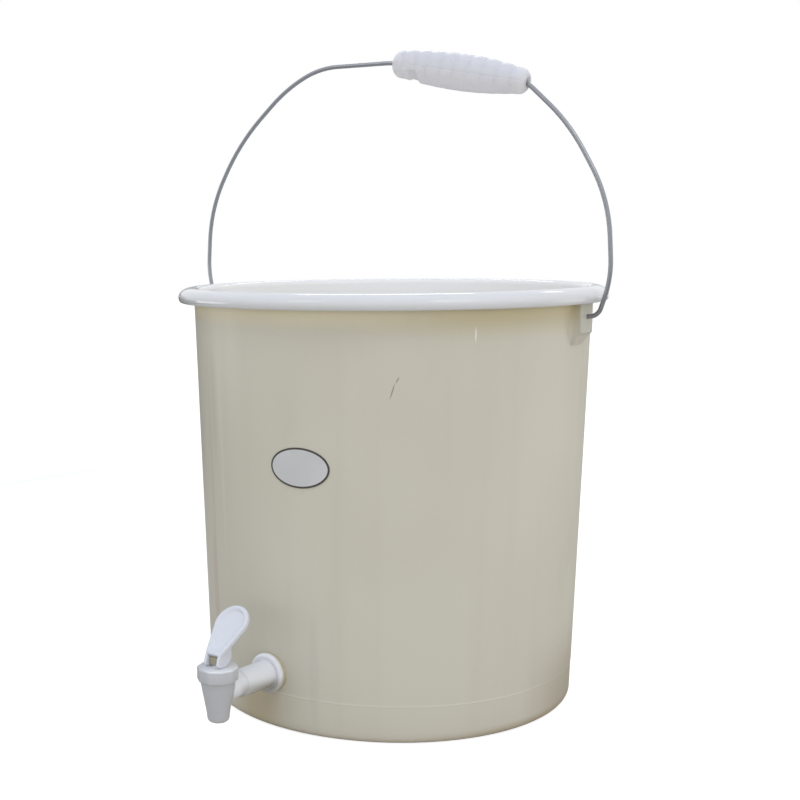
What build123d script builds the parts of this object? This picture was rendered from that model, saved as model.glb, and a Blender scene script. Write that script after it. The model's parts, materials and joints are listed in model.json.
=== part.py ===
"""A twenty-litre plastic bucket with a push-on lid, a wire bail and a lever tap.

Millimetres, +Z up, origin at the centre of the flat base. The tap points along -Y.
Each function below makes one piece as it would come apart on a bench.
"""
import os
from math import cos, radians, sin, tan

from build123d import *

# Bucket shell
base_radius = 141.7
wall_top_radius = 150.8
wall = 2.2
floor = 2.6
base_corner = 5.0
inner_corner = 4.0
step_height = 26.0
step_depth = 0.5
bucket_height = 313.0
rim_drop = 9.0
rim_overhang = 7.4
rim_skirt = 2.0
rim_plate = 2.0

# Bail ears under the rim
ear_depth = 6.9
ear_width = 23.0
ear_above_pivot = 9.3
ear_below_pivot = 11.2
ear_foot_tall = 9.0
ear_foot_narrowing = 1.4
ear_foot_setback = 1.8
ear_foot_toe = 0.6
ear_hole_clearance = 0.25
ear_hole_end_gap = 0.6
ear_edge_round = 1.0
bail_turn = 7.4

# Blank label on the wall
label_height = 195.4
label_turn = 11.5
label_wide = 46.0
label_tall = 28.4
label_thick = 0.6

# Push-on lid
lid_wall = 2.0
lid_nose_reach = 4.4
lid_nose_low = 5.6
lid_lip = 1.0
lid_clearance = 0.4
lid_crest_inset = 11.0
lid_inner_round = 4.0
lid_recess_depth = 14.2
lid_panel = 2.2
lid_plug_clearance = 0.4
lid_corner = 3.0
lid_ring_radius = 96.0
lid_ring_width = 5.0
lid_ring_tall = 1.2

# Bail wire: its bends, measured across from the bucket's axis and up from the ear holes
wire_radius = 1.6
bail_lid_gap = 9.4
hook_end_web = 1.7
hook_reach = 7.6
hook_bend = 10.0
bail_rise = 186.5
bail_widest_up = 27.2
shoulder_in = 3.5
shoulder_down = 105.5
haunch_in = 33.1
haunch_down = 53.7
crown_in = 78.4
crown_down = 14.7
flat_in = 110.1
bend_share = 0.48

# Grip, loose on the straight stretch of the wire
grip_length = 108.8
grip_across = 56.4
grip_down = 12.5
grip_slope = 11.4
grip_mid_radius = 12.9
grip_end_radius = 8.4
grip_rib_count = 10
grip_rib_tall = 0.6
grip_left_round = 5.2
grip_right_round = 4.2
grip_bore_clearance = 0.4
grip_left_mouth = 2.8
grip_right_mouth = 3.8
grip_mouth_deep = 8.0
grip_left_run = 2.35
grip_right_run = -1.55
grip_left_bend = 60.0
grip_right_bend = 24.0

# Tap: barrel through the wall, spout cup in front of it
tap_height = 42.7
spout_reach = 55.0
flange_radius = 14.5
flange_thick = 4.3
flange_round = 2.0
barrel_radius = 10.0
barrel_neck_radius = 8.6
barrel_neck_past_bonnet = 6.7
barrel_shoulder = 0.8
barrel_bore = 6.0
tail_radius = 8.0
tail_past_nut = 3.0
wall_hole_clearance = 0.4
outer_gasket_thick = 2.2
inner_gasket_thick = 2.5
gasket_inset = 0.4
gasket_seat_gap = 0.05
nut_flats = 26.0
nut_thick = 8.0
nut_edge = 1.0
thread_clearance = 0.2

# Spout cup, measured from the barrel's axis and outwards from the spout's bore
spout_bore = 4.6
spout_drop = 21.2
spout_end_wall = 2.7
spout_edge_round = 2.2
cup_waist_drop = 13.7
cup_waist_wall = 3.6
seat_drop = 8.2
seat_land = 1.0
chamber_low_gap = 1.0
neck_radius = 11.6
neck_wall = 2.3
cup_step = 0.6

# Bonnet screwed over the cup
bonnet_wall = 2.5
bonnet_side_count = 10
bonnet_flat_depth = 0.5
bonnet_tall = 9.7
bonnet_plate = 2.4
bonnet_gap = 0.3
bonnet_round = 1.2
bonnet_bevel = 1.2
collar_wall = 1.1
collar_tall = 0.6

# Valve inside the cup
stem_radius = 2.5
stem_clearance = 0.08
stem_foot_gap = 0.4
stem_foot_thick = 1.8
seat_floor = 2.1
seat_wall = 0.8
seat_wall_gap = 0.9
seat_rim_thick = 1.5
spring_gap = 0.75
spring_wire = 0.45
spring_turn_count = 7

# Lever on the stem's trunnions
eye_radius = 3.3
eye_lift = 0.4
eye_side_gap = 0.4
foot_gap = 0.3
lift_per_radian = 3.0
lever_travel = 50.0
trunnion_radius = 1.4
trunnion_clearance = 0.06
trunnion_engaged = 1.6
trunnion_end_gap = 0.2
fork_gap = 1.1
leg_thick = 2.3
heel_flat = 1.0
heel_back = 4.8
heel_rise = 2.4
heel_rear = 6.9
heel_rear_rise = 5.1
leg_rear = 7.6
paddle_front = 5.2
paddle_above_pivot = 5.1
paddle_lean = 45.0
paddle_tip_radius = 13.7
paddle_tip_centre = 26.5
paddle_thick = 3.6
paddle_border = 3.0
paddle_recess = 0.9
cam_point_count = 7

# Places that several pieces share
rim_underside = bucket_height - rim_drop
rim_ceiling = bucket_height - rim_plate
rim_radius = wall_top_radius + rim_overhang
ear_face = wall_top_radius + ear_depth
hook_end = wall_top_radius + hook_end_web
pivot_height = rim_underside - ear_above_pivot
ear_bottom = pivot_height - ear_below_pivot
lid_radius = rim_radius + lid_clearance + lid_nose_reach
lid_top = bucket_height + lid_wall
panel_top = lid_top - lid_recess_depth
panel_bottom = panel_top - lid_panel
bail_half = lid_radius + bail_lid_gap + wire_radius
grip_up = bail_rise - grip_down


def wall_radius(height):
    """Outer radius of the tapered wall at a height."""
    return base_radius + (wall_top_radius - base_radius) * height / rim_underside


# Places on the tap
tap_wall = wall_radius(tap_height)
spout_y = -(tap_wall + spout_reach)
flange_back = -(tap_wall + outer_gasket_thick)
flange_front = flange_back - flange_thick
inner_gasket_front = -(tap_wall - wall - inner_gasket_thick)
nut_front = inner_gasket_front + nut_thick
tail_end = nut_front + tail_past_nut
wall_hole_radius = tail_radius + wall_hole_clearance
outer_gasket_radius = flange_radius - gasket_inset
inner_gasket_radius = nut_flats / 2 - gasket_inset
spout_end = tap_height - spout_drop
cup_waist = tap_height - cup_waist_drop
seat_level = tap_height - seat_drop
cup_shoulder = tap_height + barrel_neck_radius
spout_end_radius = spout_bore + spout_end_wall
cup_waist_radius = spout_bore + cup_waist_wall
cup_top_radius = neck_radius + cup_step
bonnet_radius = neck_radius + thread_clearance + bonnet_wall
bonnet_bottom = cup_shoulder + bonnet_gap
bonnet_top = bonnet_bottom + bonnet_tall
bonnet_ceiling = bonnet_top - bonnet_plate
neck_top = bonnet_ceiling - seat_rim_thick

# Places on the valve and the lever
seat_floor_radius = spout_bore + seat_land
seat_floor_top = seat_level + seat_floor
chamber_low_radius = seat_floor_radius + chamber_low_gap
chamber_top_radius = neck_radius - neck_wall
seat_wall_top_radius = chamber_top_radius - seat_wall_gap
stem_foot_radius = seat_floor_radius - seat_wall - stem_foot_gap
stem_foot_top = seat_floor_top + stem_foot_thick
spring_radius = stem_radius + spring_gap + spring_wire
collar_radius = stem_radius + collar_wall
collar_top = bonnet_top + collar_tall
pin_height = collar_top + eye_lift + eye_radius
slot_half = collar_radius + fork_gap
fork_half = slot_half + leg_thick


def turned(outline):
    """Solid turned about Z from a closed outline of radius and height."""
    return revolve(Plane.XZ * make_face(outline), Axis.Z)


def corner_round(face, corner, radius):
    """The flat face with one of its corners rounded."""
    vertex = face.vertices().sort_by_distance(corner)[0]
    return fillet(vertex, radius)


def bar_along_y(radius, y_from, y_to, height):
    """Round bar along Y between two places."""
    middle = (y_from + y_to) / 2
    return Pos(0, middle, height) * Rot(90, 0, 0) * Cylinder(radius, abs(y_to - y_from))


def bar_along_x(radius, x_from, x_to, y, height):
    """Round bar along X between two places."""
    middle = (x_from + x_to) / 2
    return Pos(middle, y, height) * Rot(0, 90, 0) * Cylinder(radius, abs(x_to - x_from))


def wall_cone(offset, low, high):
    """Solid cone that follows the wall's outer face, moved outwards by an offset."""
    cone = Cone(wall_radius(low) + offset, wall_radius(high) + offset, high - low)
    return Pos(0, 0, (low + high) / 2) * cone


def bail_ear():
    """One ear on +X: a block under the rim, a tapering foot and a blind hole."""
    inner = wall_radius(ear_bottom) - wall / 2
    foot_bottom = ear_bottom - ear_foot_tall
    foot_inner = wall_radius(foot_bottom) - wall / 2
    block_side = Polyline(
        (inner, ear_bottom), (ear_face, ear_bottom), (ear_face, rim_ceiling), (inner, rim_ceiling), close=True
    )
    block = extrude(Plane.XZ * make_face(block_side), ear_width / 2, both=True)
    outer_edges = block.edges().filter_by(Axis.Z).sort_by(Axis.X)[-2:]
    block = fillet(outer_edges, ear_edge_round)
    foot_side = Polyline(
        (foot_inner, foot_bottom),
        (wall_radius(foot_bottom) + ear_foot_toe, foot_bottom),
        (ear_face - ear_foot_setback, ear_bottom),
        (foot_inner, ear_bottom),
        close=True,
    )
    foot = extrude(Plane.XZ * make_face(foot_side), ear_width / 2 - ear_foot_narrowing, both=True)
    hole_end = hook_end - ear_hole_end_gap
    hole = bar_along_x(wire_radius + ear_hole_clearance, hole_end, ear_face + wall, 0, pivot_height)
    return block + foot, hole


def bucket_body():
    """Tapered shell with a floor, a turned-down rim, two ears and the hole for the tap."""
    low_radius = wall_radius(0) - step_depth
    step_radius = wall_radius(step_height)
    inside_floor = wall_radius(floor) - wall
    outline = Polyline(
        (0, 0),
        (low_radius, 0),
        (step_radius - step_depth, step_height),
        (step_radius, step_height + step_depth),
        (wall_radius(rim_ceiling), rim_ceiling),
        (rim_radius - rim_skirt, rim_ceiling),
        (rim_radius - rim_skirt, rim_underside),
        (rim_radius, rim_underside),
        (rim_radius, bucket_height),
        (wall_radius(bucket_height) - wall, bucket_height),
        (inside_floor, floor),
        (0, floor),
        close=True,
    )
    section = corner_round(make_face(outline), (low_radius, 0), base_corner)
    section = corner_round(section, (inside_floor, floor), inner_corner)
    shell = revolve(Plane.XZ * section, Axis.Z)
    ear, hole = bail_ear()
    for turn in (bail_turn, bail_turn + 180):
        shell = shell + Rot(0, 0, turn) * ear
        shell = shell - Rot(0, 0, turn) * hole
    tap_hole = bar_along_y(wall_hole_radius, -tap_wall - wall, -tap_wall + 2 * wall, tap_height)
    return shell - tap_hole


def wall_label():
    """Thin oval label that follows the wall."""
    low = label_height - label_tall
    high = label_height + label_tall
    sleeve = wall_cone(label_thick, low, high) - wall_cone(0, low, high)
    face_plane = Plane(origin=(0, 0, label_height), x_dir=(1, 0, 0), z_dir=(0, -1, 0))
    cutter = extrude(face_plane * Ellipse(label_wide / 2, label_tall / 2), 2 * base_radius)
    return Rot(0, 0, label_turn) * (sleeve & cutter)


def bucket_lid():
    """Lid with a rounded edge over the rim, a plug wall inside the mouth and a recessed panel."""
    lip_inner = rim_radius + lid_clearance
    lip_outer = lip_inner + lid_lip
    nose_level = rim_underside + lid_nose_low
    crest_radius = lid_radius - lid_crest_inset
    plug_low = wall_radius(panel_bottom) - wall - lid_plug_clearance
    plug_high = wall_radius(bucket_height) - wall - lid_plug_clearance
    recess_high = plug_high - lid_wall
    recess_low = plug_low - lid_wall
    recess_edge = lid_top - lid_inner_round
    quarter = 90
    below = EllipticalCenterArc(
        (lip_outer, nose_level), lid_radius - lip_outer, lid_nose_low, -quarter, arc_size=quarter
    )
    above = EllipticalCenterArc(
        (crest_radius, nose_level), lid_radius - crest_radius, lid_top - nose_level, 0, arc_size=quarter
    )
    inward = EllipticalCenterArc(
        (crest_radius, recess_edge), crest_radius - recess_high, lid_inner_round, quarter, arc_size=quarter
    )
    under = Polyline(
        (0, panel_bottom),
        (plug_low, panel_bottom),
        (plug_high, bucket_height),
        (lip_inner, bucket_height),
        (lip_inner, rim_underside),
        (lip_outer, rim_underside),
    )
    over = Polyline(
        (recess_high, recess_edge),
        (recess_low, panel_top),
        (0, panel_top),
        (0, panel_bottom),
    )
    section = make_face(under.edges() + [below, above, inward] + over.edges())
    section = corner_round(section, (recess_low, panel_top), lid_corner)
    section = corner_round(section, (plug_low, panel_bottom), lid_corner)
    ring = Polyline(
        (lid_ring_radius - lid_ring_width, panel_top),
        (lid_ring_radius + lid_ring_width, panel_top),
        (lid_ring_radius + lid_ring_width / 2, panel_top + lid_ring_tall),
        (lid_ring_radius - lid_ring_width / 2, panel_top + lid_ring_tall),
        close=True,
    )
    return revolve(Plane.XZ * section, Axis.Z) + turned(ring)


def bail_route():
    """Corners of the wire in the bail's plane, from the right hook to the left one.

    Each corner is (across, up, largest bend radius), and None leaves the bend as large as its runs allow.
    """
    slope = radians(grip_slope)
    right_run = grip_length / 2 + grip_right_run
    left_run = grip_length / 2 + grip_left_run
    leg = [
        (hook_end, 0, None),
        (ear_face + hook_reach, 0, hook_bend),
        (bail_half, bail_widest_up, None),
        (bail_half - shoulder_in, bail_rise - shoulder_down, None),
        (bail_half - haunch_in, bail_rise - haunch_down, None),
    ]
    grip_ends = [
        (grip_across + right_run * cos(slope), grip_up - right_run * sin(slope), grip_right_bend),
        (grip_across - left_run * cos(slope), grip_up + left_run * sin(slope), grip_left_bend),
    ]
    crown = [
        (-(bail_half - flat_in), bail_rise, None),
        (-(bail_half - crown_in), bail_rise - crown_down, None),
    ]
    left_leg = [(-across, up, bend) for across, up, bend in reversed(leg)]
    return leg + grip_ends + crown + left_leg


def bend_radii(route):
    """Bend radius at each inner corner of the route."""
    points = [Vector(across, up) for across, up, bend in route]
    radii = []
    for before, corner, after, limit in zip(points, points[1:], points[2:], route[1:]):
        first = corner - before
        second = after - corner
        turn = radians(first.get_angle(second))
        largest = bend_share * min(first.length, second.length) / tan(turn / 2)
        radii.append(min(largest, limit[2] or largest))
    return radii


def bail_wire():
    """Round wire bent into a tall handle, with a hook at each end."""
    route = bail_route()
    radii = bend_radii(route)
    print("bail bend radii", [round(radius, 1) for radius in radii])
    path = FilletPolyline(*[(across, 0, up) for across, up, bend in route], radius=radii)
    start = Plane(origin=path @ 0, z_dir=path % 0)
    wire = sweep(start * Circle(wire_radius), path=path)
    return Rot(0, 0, bail_turn) * Pos(0, 0, pivot_height) * wire


def grip_outline_radius(along):
    """Radius of the grip's plain swelling form at a distance from its middle."""
    half = grip_length / 2
    return grip_end_radius + (grip_mid_radius - grip_end_radius) * (1 - (along / half) ** 2)


def bail_grip():
    """Swelling grip with shallow rings, a bore for the wire and a wider mouth at each end."""
    half = grip_length / 2
    pitch = grip_length / grip_rib_count
    stations = [-half + pitch * i for i in range(grip_rib_count + 1)]
    rings = []
    for left, right in zip(stations, stations[1:]):
        middle = (left + right) / 2
        rings.append(
            ThreePointArc(
                (left, grip_outline_radius(left)),
                (middle, grip_outline_radius(middle) + grip_rib_tall),
                (right, grip_outline_radius(right)),
            )
        )
    ends = Polyline((half, grip_end_radius), (half, 0), (-half, 0), (-half, grip_end_radius))
    section = make_face(rings + ends.edges())
    section = corner_round(section, (-half, grip_end_radius), grip_left_round)
    section = corner_round(section, (half, grip_end_radius), grip_right_round)
    body = revolve(Plane.XZ * section, Axis.X)
    bore = bar_along_x(wire_radius + grip_bore_clearance, -half, half, 0, 0)
    left_mouth = bar_along_x(grip_left_mouth, -half, grip_mouth_deep - half, 0, 0)
    right_mouth = bar_along_x(grip_right_mouth, half - grip_mouth_deep, half, 0, 0)
    body = body - bore - left_mouth - right_mouth
    placed = Pos(grip_across, 0, grip_up + pivot_height) * Rot(0, grip_slope, 0) * body
    return Rot(0, 0, bail_turn) * placed


def tap_body():
    """Spout cup, barrel, flange and tail in one piece, bored for the water's way through."""
    cup_outline = Polyline(
        (0, spout_end),
        (spout_end_radius, spout_end),
        (cup_waist_radius, cup_waist),
        (cup_top_radius, cup_shoulder),
        (neck_radius, cup_shoulder),
        (neck_radius, neck_top),
        (0, neck_top),
        close=True,
    )
    section = corner_round(make_face(cup_outline), (spout_end_radius, spout_end), spout_edge_round)
    cup = Pos(0, spout_y, 0) * revolve(Plane.XZ * section, Axis.Z)
    step_y = spout_y + bonnet_radius + barrel_neck_past_bonnet
    shoulder = Pos(0, step_y + barrel_shoulder / 2, tap_height) * Rot(-90, 0, 0) * Cone(
        barrel_neck_radius, barrel_radius, barrel_shoulder
    )
    neck = bar_along_y(barrel_neck_radius, spout_y, step_y, tap_height)
    barrel = bar_along_y(barrel_radius, step_y + barrel_shoulder, flange_front, tap_height)
    flange = bar_along_y(flange_radius, flange_front, flange_back, tap_height)
    flange = fillet(flange.edges().sort_by(Axis.Y)[0], flange_round)
    tail = bar_along_y(tail_radius, flange_back, tail_end, tap_height)
    solid = cup + neck + shoulder + barrel + flange + tail
    chamber_outline = Polyline(
        (0, seat_level),
        (chamber_low_radius, seat_level),
        (chamber_top_radius, cup_shoulder),
        (chamber_top_radius, neck_top),
        (0, neck_top),
        close=True,
    )
    chamber = Pos(0, spout_y, 0) * turned(chamber_outline)
    outlet = Pos(0, spout_y, (spout_end + seat_level) / 2) * Cylinder(spout_bore, seat_level - spout_end)
    passage = bar_along_y(barrel_bore, spout_y, tail_end, tap_height)
    return solid - chamber - outlet - passage


def outer_gasket():
    """Soft washer under the flange, shaped to the wall."""
    disc = bar_along_y(outer_gasket_radius, flange_back, -tap_wall + 2 * wall, tap_height)
    hole = bar_along_y(wall_hole_radius, flange_back, 0, tap_height)
    low = tap_height - flange_radius
    high = tap_height + flange_radius
    return disc - hole - wall_cone(gasket_seat_gap, low - wall, high + wall)


def inner_gasket():
    """Soft washer inside the bucket, shaped to the wall."""
    disc = bar_along_y(inner_gasket_radius, -tap_wall, inner_gasket_front, tap_height)
    hole = bar_along_y(wall_hole_radius, -tap_wall - wall, 0, tap_height)
    low = tap_height - flange_radius
    high = tap_height + flange_radius
    return (disc & wall_cone(-wall - gasket_seat_gap, low - wall, high + wall)) - hole


def back_nut():
    """Hexagon nut that pulls the flange against the wall."""
    face_plane = Plane(origin=(0, inner_gasket_front, tap_height), x_dir=(1, 0, 0), z_dir=(0, 1, 0))
    nut = extrude(face_plane * RegularPolygon(nut_flats / 2, 6, major_radius=False), nut_thick)
    nut = chamfer(nut.edges().group_by(Axis.Y)[-1], nut_edge)
    return nut - bar_along_y(tail_radius + thread_clearance, inner_gasket_front, nut_front, tap_height)


def tap_bonnet():
    """Cap over the cup with flats round its edge and a guide collar for the stem."""
    outline = Polyline(
        (0, bonnet_bottom),
        (bonnet_radius, bonnet_bottom),
        (bonnet_radius, bonnet_top),
        (collar_radius, bonnet_top),
        (collar_radius, collar_top),
        (0, collar_top),
        close=True,
    )
    section = corner_round(make_face(outline), (bonnet_radius, bonnet_top), bonnet_round)
    section = chamfer(section.vertices().sort_by_distance((bonnet_radius, bonnet_bottom))[0], bonnet_bevel)
    cap = revolve(Plane.XZ * section, Axis.Z)
    flat_reach = bonnet_radius - bonnet_flat_depth
    flats = extrude(RegularPolygon(flat_reach, bonnet_side_count, major_radius=False), 2 * bonnet_top)
    cap = cap & flats
    hollow_tall = bonnet_ceiling - bonnet_bottom
    hollow_radius = neck_radius + thread_clearance
    hollow = Pos(0, 0, bonnet_bottom + hollow_tall / 2) * Cylinder(hollow_radius, hollow_tall)
    guide = Pos(0, 0, bonnet_top) * Cylinder(stem_radius + stem_clearance, 2 * (bonnet_plate + collar_tall))
    return Pos(0, spout_y, 0) * (cap - hollow - guide)


def valve_stem():
    """Rod with a foot below, and above it a square-footed eye with a trunnion on each side."""
    rod_tall = pin_height - seat_floor_top
    rod = Pos(0, spout_y, seat_floor_top + rod_tall / 2) * Cylinder(stem_radius, rod_tall)
    foot = Pos(0, spout_y, seat_floor_top + stem_foot_thick / 2) * Cylinder(stem_foot_radius, stem_foot_thick)
    eye_half = slot_half - eye_side_gap
    eye = bar_along_x(eye_radius, -eye_half, eye_half, spout_y, pin_height)
    block = Pos(0, spout_y, pin_height - eye_radius / 2) * Box(2 * eye_half, 2 * eye_radius, eye_radius)
    reach = slot_half + trunnion_engaged
    trunnions = bar_along_x(trunnion_radius, -reach, reach, spout_y, pin_height)
    return rod + foot + eye + block + trunnions


def seat_cup():
    """Silicone cup: a floor on the seat, a thin flared wall and a rim under the bonnet."""
    outline = Polyline(
        (0, seat_level),
        (seat_floor_radius, seat_level),
        (seat_floor_radius, seat_floor_top),
        (seat_wall_top_radius, neck_top),
        (neck_radius, neck_top),
        (neck_radius, bonnet_ceiling),
        (seat_wall_top_radius - seat_wall, bonnet_ceiling),
        (seat_floor_radius - seat_wall, seat_floor_top),
        (0, seat_floor_top),
        close=True,
    )
    return Pos(0, spout_y, 0) * turned(outline)


def return_spring():
    """Coil between the stem's foot and the bonnet."""
    low = stem_foot_top + spring_wire
    tall = bonnet_ceiling - spring_wire - low
    coil = Helix(pitch=tall / spring_turn_count, height=tall, radius=spring_radius)
    start = Plane(origin=coil @ 0, z_dir=coil % 0)
    return Pos(0, spout_y, low) * sweep(start * Circle(spring_wire), path=coil, is_frenet=True)


def cam_point(angle):
    """Point of the lever's foot that meets the bonnet when the lever has turned by an angle.

    The foot is an involute, so that the stem rises evenly with the angle. It is measured from the pivot.
    """
    reach = pin_height - bonnet_top - foot_gap + lift_per_radian * angle
    forward = -(reach * sin(angle) + lift_per_radian * cos(angle))
    down = -reach * cos(angle) + lift_per_radian * sin(angle)
    return spout_y + forward, pin_height + down


def tap_lever():
    """Teardrop paddle with a recessed face, on a fork whose feet are cams."""
    travel = radians(lever_travel)
    toe = [cam_point(travel * i / (cam_point_count - 1)) for i in range(cam_point_count)]
    foot_level = bonnet_top + foot_gap
    edge_y = spout_y - paddle_front
    edge_z = pin_height + paddle_above_pivot
    back = Polyline(
        toe[-1],
        (edge_y, edge_z),
        (spout_y + leg_rear, edge_z + paddle_front + leg_rear - paddle_thick / 2),
        (spout_y + heel_rear, foot_level + heel_rear_rise),
        (spout_y + heel_back, foot_level + heel_rise),
        (spout_y + heel_flat, foot_level),
        toe[0],
    )
    side = make_face([Spline(*toe)] + back.edges())
    legs = extrude(Plane.YZ * side, fork_half, both=True)
    slot_tall = 2 * (edge_z - bonnet_top + paddle_tip_centre)
    legs = legs - Pos(0, spout_y, bonnet_top) * Box(2 * slot_half, 4 * leg_rear, slot_tall)
    lean = radians(paddle_lean)
    face_plane = Plane(origin=(0, edge_y, edge_z), x_dir=(1, 0, 0), z_dir=(0, -cos(lean), sin(lean)))
    tip = Pos(0, paddle_tip_centre) * Circle(paddle_tip_radius)
    lower_edge = Line((-fork_half, 0), (fork_half, 0))
    teardrop = make_hull(tip.edges() + lower_edge.edges())
    paddle = extrude(face_plane * teardrop, -paddle_thick)
    recess = extrude(face_plane * offset(teardrop, -paddle_border), -paddle_recess)
    lever = legs + paddle - recess
    for end in (-1, 1):
        hole_end = end * (slot_half + trunnion_engaged + trunnion_end_gap)
        lever = lever - bar_along_x(
            trunnion_radius + trunnion_clearance, 0, hole_end, spout_y, pin_height
        )
    return lever


pieces = {
    "bucket_body": bucket_body,
    "wall_label": wall_label,
    "bucket_lid": bucket_lid,
    "bail_wire": bail_wire,
    "bail_grip": bail_grip,
    "tap_body": tap_body,
    "tap_bonnet": tap_bonnet,
    "outer_gasket": outer_gasket,
    "inner_gasket": inner_gasket,
    "back_nut": back_nut,
    "valve_stem": valve_stem,
    "seat_cup": seat_cup,
    "return_spring": return_spring,
    "tap_lever": tap_lever,
}

os.makedirs("parts", exist_ok=True)
for name, make in pieces.items():
    export_step(make(), f"parts/{name}.step")

print("pivot height", round(pivot_height, 3))
print("spout y", round(spout_y, 3), "pin height", round(pin_height, 3))
print("stem lift at full travel", round(lift_per_radian * radians(lever_travel), 3))
print("panel bottom", round(panel_bottom, 3), "lid top", round(lid_top, 3))
print("tail end", round(tail_end, 3), "tap wall", round(tap_wall, 3))
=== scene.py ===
# %% [markdown]
# # A lidded bucket with a tap
#
# A cream plastic bucket stands on a pale floor. It has a white push-on lid, a bent wire handle with a white
# grip, a small blank label and a white lever tap low on its wall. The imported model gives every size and
# every joint. This lesson dresses it: each piece that the eye rests on is modelled again with its rounded
# edges, and every surface gets a finish made of nodes. Most sizes are written in millimetres and turned
# into Blender's metres. +Z is up and the tap points along -Y.

# %% Load the frame
import json
from math import acos, atan2, cos, pi, radians, sin, sqrt, tan, tau

import bmesh
import bpy
from mathutils import Euler, Matrix, Vector


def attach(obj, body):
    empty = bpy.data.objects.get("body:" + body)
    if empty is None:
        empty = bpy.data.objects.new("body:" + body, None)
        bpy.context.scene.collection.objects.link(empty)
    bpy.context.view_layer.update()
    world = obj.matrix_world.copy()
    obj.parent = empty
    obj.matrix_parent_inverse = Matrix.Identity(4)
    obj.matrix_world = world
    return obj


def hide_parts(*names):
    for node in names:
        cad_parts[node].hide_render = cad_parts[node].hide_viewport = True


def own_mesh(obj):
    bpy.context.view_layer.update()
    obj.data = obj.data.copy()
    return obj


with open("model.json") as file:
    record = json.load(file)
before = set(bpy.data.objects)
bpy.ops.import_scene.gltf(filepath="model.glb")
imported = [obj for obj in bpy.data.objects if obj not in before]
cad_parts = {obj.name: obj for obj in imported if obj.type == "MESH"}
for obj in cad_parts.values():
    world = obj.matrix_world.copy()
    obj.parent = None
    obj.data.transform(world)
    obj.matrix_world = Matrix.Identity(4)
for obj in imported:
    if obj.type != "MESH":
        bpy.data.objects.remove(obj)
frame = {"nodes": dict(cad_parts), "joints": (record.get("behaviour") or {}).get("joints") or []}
nodes = frame["nodes"]
joints = {joint["name"]: joint for joint in frame["joints"]}
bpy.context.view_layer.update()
MM = 0.001


def at(x, y, z):
    """Place given in millimetres, as a vector in metres."""
    return Vector((x, y, z)) * MM


# %% [markdown]
# ## Camera
#
# The photograph was taken from a little above the lid, turned about 36 degrees from the tap, and it was
# cropped off its centre. Aiming the camera aside would give the upright edges another lean, so a lens shift
# copies the crop, and they lean as they do in the picture.

# %% Place the camera
scene = bpy.context.scene
scene.view_settings.view_transform = "Standard"
photo_azimuth = radians(36.3)
camera_distance = 1.012
camera_height = 0.3517
camera_yaw = radians(5.77)
camera_pitch = radians(9.26)
camera_roll = radians(-0.66)
to_right = Vector((cos(photo_azimuth), sin(photo_azimuth), 0))
to_back = Vector((-sin(photo_azimuth), cos(photo_azimuth), 0))
bpy.ops.object.camera_add()
camera = bpy.context.object
camera.data.lens = 58.5
camera.data.sensor_width = 36.0
camera.data.shift_x = 0.175
camera.data.shift_y = 0.0625
camera.location = (
    camera_distance * sin(photo_azimuth),
    -camera_distance * cos(photo_azimuth),
    camera_height,
)
aim = Euler((pi / 2 - camera_pitch, 0, photo_azimuth + camera_yaw)).to_matrix()
camera.rotation_euler = (aim @ Matrix.Rotation(camera_roll, 3, "Z")).to_euler()
scene.camera = camera
print("camera at", tuple(round(value, 3) for value in camera.location))

# %% [markdown]
# ## Hands for modelling
#
# Almost every part of this bucket came out of a lathe-turned mould, so most pieces start as a profile: a
# line of points that is drawn by extruding one vertex, rounded at its corners with a vertex bevel, and spun
# about an axis. A Screw modifier could turn it too, but a spun mesh can be edited at once. These helpers do
# the selecting that a hand does with the mouse.

# %% Choose, open and close a piece
merge_distance = 0.002 * MM


def deselect_everything():
    """Leave edit mode and clear the selection."""
    if bpy.context.object and bpy.context.object.mode != "OBJECT":
        bpy.ops.object.mode_set(mode="OBJECT")
    bpy.ops.object.select_all(action="DESELECT")


def choose(piece):
    """Select one piece alone and make it the active one."""
    deselect_everything()
    piece.select_set(True)
    bpy.context.view_layer.objects.active = piece


def name_piece(name):
    """Name the piece that was just added, and its mesh."""
    piece = bpy.context.object
    piece.name = name
    piece.data.name = name
    return piece


def apply_place(piece):
    """Put the place, turn and scale of a piece into its mesh."""
    choose(piece)
    bpy.ops.object.transform_apply(location=True, rotation=True, scale=True)


def open_piece(piece):
    """Open one piece alone in edit mode with nothing selected."""
    choose(piece)
    bpy.ops.object.mode_set(mode="EDIT")
    bpy.ops.mesh.select_mode(type="VERT")
    bpy.ops.mesh.select_all(action="DESELECT")


def close_piece(piece, smooth=30):
    """Merge doubles, point the faces outwards, leave edit mode and shade smooth below an angle."""
    bpy.ops.mesh.select_mode(type="VERT")
    bpy.ops.mesh.select_all(action="SELECT")
    bpy.ops.mesh.remove_doubles(threshold=merge_distance)
    bpy.ops.mesh.normals_make_consistent(inside=False)
    choose(piece)
    bpy.ops.object.shade_smooth_by_angle(angle=radians(smooth))
    print(piece.name, len(piece.data.polygons), "faces")


# %% Pick parts of an open piece
def pick(piece, test, kind="verts"):
    """Select the vertices, edges or faces that pass a test, in edit mode, and count them."""
    bpy.ops.mesh.select_mode(type={"verts": "VERT", "edges": "EDGE", "faces": "FACE"}[kind])
    bpy.ops.mesh.select_all(action="DESELECT")
    form = bmesh.from_edit_mesh(piece.data)
    chosen = [item for item in getattr(form, kind) if test(item)]
    for item in chosen:
        item.select_set(True)
    form.select_flush_mode()
    bmesh.update_edit_mesh(piece.data)
    return len(chosen)


def bevel_edges(piece, test, offset, segments):
    """Round the edges that pass a test, by an offset in millimetres, and count them."""
    count = pick(piece, test, "edges")
    bpy.ops.mesh.bevel(affect="EDGES", offset=offset * MM, segments=segments, profile=0.5)
    return count


# %% Draw a profile
round_steps = 6


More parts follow.
